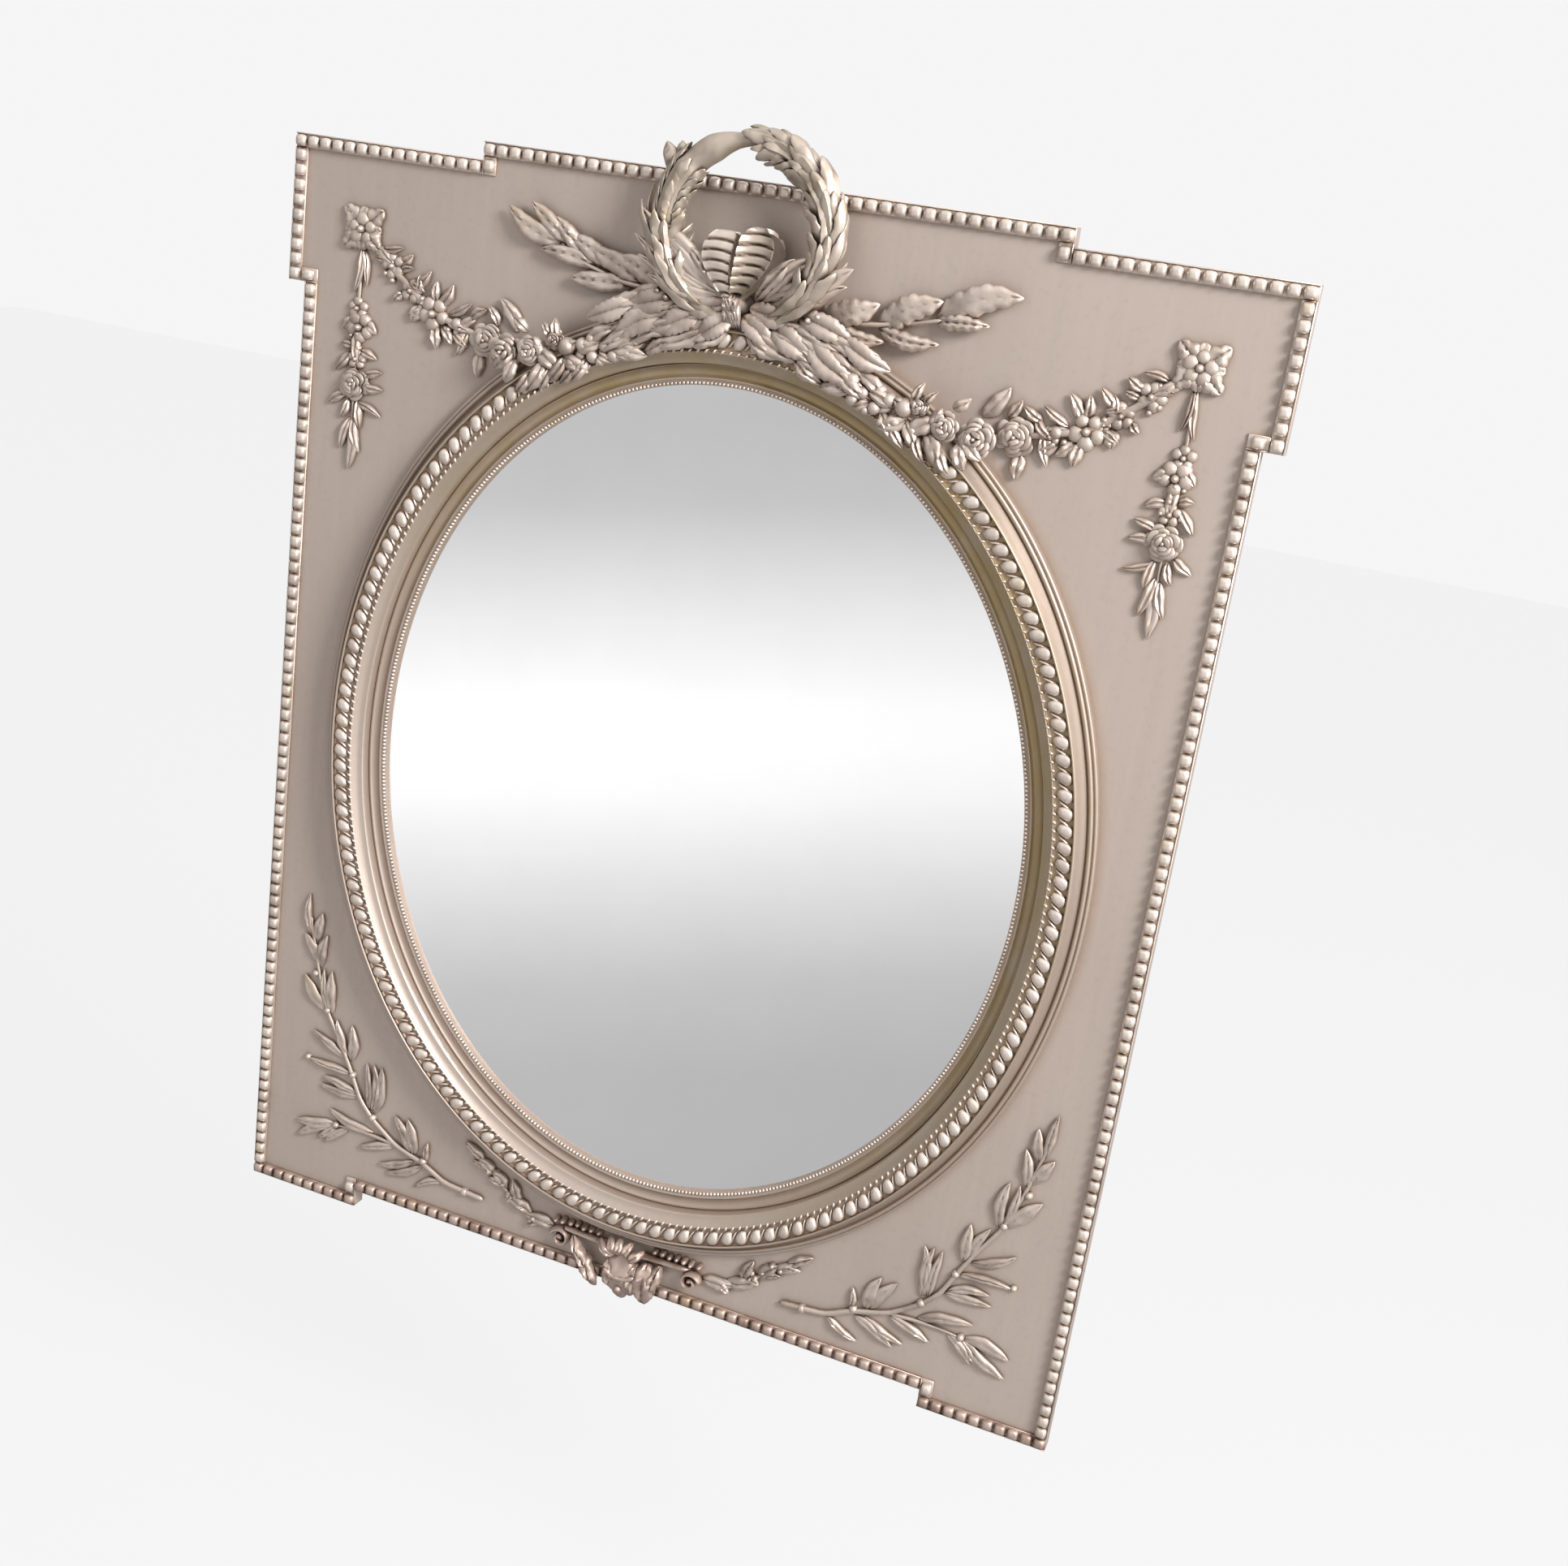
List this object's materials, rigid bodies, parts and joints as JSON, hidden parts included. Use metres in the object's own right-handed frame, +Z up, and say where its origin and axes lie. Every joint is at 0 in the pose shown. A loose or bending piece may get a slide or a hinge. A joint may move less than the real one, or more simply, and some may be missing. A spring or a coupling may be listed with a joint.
{
  "type": "trumeau mirror",
  "caption": "Painted wall mirror with an oval glass in a carved oval moulding, pearl edging, laurel wreath, ribbon bow, flower garlands and leaf sprays.",
  "frame": {"origin": "middle of the top rail's back face, on the wall plane", "axes": "+X to the viewer's right, +Z up, -Y out of the mirror's front, +Y into the wall"},
  "size_m": [0.884, 0.074, 1.0813],
  "materials": {
    "painted_board": "aged satin taupe paint",
    "painted_moulding": "taupe paint rubbed with old gold",
    "gilding": "champagne silver-gilt with brown glaze in the hollows",
    "looking_glass": "polished, silvered behind",
    "bare_wood": "sawn softwood, darkened with age",
    "backing_wood": "thin planed board, darkened with age",
    "brass": "dulled brass",
    "steel": "dulled steel"
  },
  "bodies": {
    "mirror_frame": {"backing_board": "backing_wood", "bottom_cartouche": "gilding", "bottom_pearls": "gilding", "bottom_rail": "bare_wood", "crest_pearls": "gilding", "egg_and_dart_band": "gilding", "face_panel": "painted_board", "hanger_screws": "steel", "laurel_wreath": "gilding", "left_bottom_sprig": "gilding", "left_corner_branch": "gilding", "left_crest_foliage": "gilding", "left_crest_return_pearl": "gilding", "left_drop": "gilding", "left_ear_side_pearls": "gilding", "left_ear_top_pearls": "gilding", "left_ear_under_pearl": "gilding", "left_foot_pearls": "gilding", "left_foot_return_pearl": "gilding", "left_garland": "gilding", "left_hanger_strap": "brass", "left_laurel_spray": "gilding", "left_rosette": "gilding", "left_side_pearls": "gilding", "left_stile": "bare_wood", "mirror_glass": "looking_glass", "oval_moulding": "painted_moulding", "ribbon_knot": "gilding", "ribbon_left_loop": "gilding", "ribbon_right_loop": "gilding", "right_bottom_sprig": "gilding", "right_corner_branch": "gilding", "right_crest_foliage": "gilding", "right_crest_return_pearl": "gilding", "right_drop": "gilding", "right_ear_side_pearls": "gilding", "right_ear_top_pearls": "gilding", "right_ear_under_pearl": "gilding", "right_foot_pearls": "gilding", "right_foot_return_pearl": "gilding", "right_garland": "gilding", "right_hanger_strap": "brass", "right_laurel_spray": "gilding", "right_rosette": "gilding", "right_side_pearls": "gilding", "right_stile": "bare_wood", "sight_beading": "gilding", "sight_moulding": "painted_moulding", "top_rail": "bare_wood", "turn_button_screws": "steel"},
    "left_ring": {"left_hanger_ring": "brass"},
    "right_ring": {"right_hanger_ring": "brass"},
    "button_1": {"turn_button_1": "brass"},
    "button_2": {"turn_button_2": "brass"},
    "button_3": {"turn_button_3": "brass"},
    "button_4": {"turn_button_4": "brass"},
    "button_5": {"turn_button_5": "brass"},
    "button_6": {"turn_button_6": "brass"}
  },
  "joints": [
    {"name": "left_ring_swing", "type": "hinge", "parent": "mirror_frame", "child": "left_ring", "pos_m": [-0.3, -0.0145, -0.065], "axis": [1, 0, 0], "range_deg": [0, 180]},
    {"name": "right_ring_swing", "type": "hinge", "parent": "mirror_frame", "child": "right_ring", "pos_m": [0.3, -0.0145, -0.065], "axis": [1, 0, 0], "range_deg": [0, 180]},
    {"name": "button_1_turn", "type": "hinge", "parent": "mirror_frame", "child": "button_1", "pos_m": [0.27799, -0.0165, -0.271], "axis": [0, 1, 0], "range_deg": [-90, 90]},
    {"name": "button_2_turn", "type": "hinge", "parent": "mirror_frame", "child": "button_2", "pos_m": [0, -0.0165, -0.078], "axis": [0, 1, 0], "range_deg": [-90, 90]},
    {"name": "button_3_turn", "type": "hinge", "parent": "mirror_frame", "child": "button_3", "pos_m": [-0.27799, -0.0165, -0.271], "axis": [0, 1, 0], "range_deg": [-90, 90]},
    {"name": "button_4_turn", "type": "hinge", "parent": "mirror_frame", "child": "button_4", "pos_m": [-0.27799, -0.0165, -0.657], "axis": [0, 1, 0], "range_deg": [-90, 90]},
    {"name": "button_5_turn", "type": "hinge", "parent": "mirror_frame", "child": "button_5", "pos_m": [0, -0.0165, -0.85], "axis": [0, 1, 0], "range_deg": [-90, 90]},
    {"name": "button_6_turn", "type": "hinge", "parent": "mirror_frame", "child": "button_6", "pos_m": [0.27799, -0.0165, -0.657], "axis": [0, 1, 0], "range_deg": [-90, 90]}
  ]
}
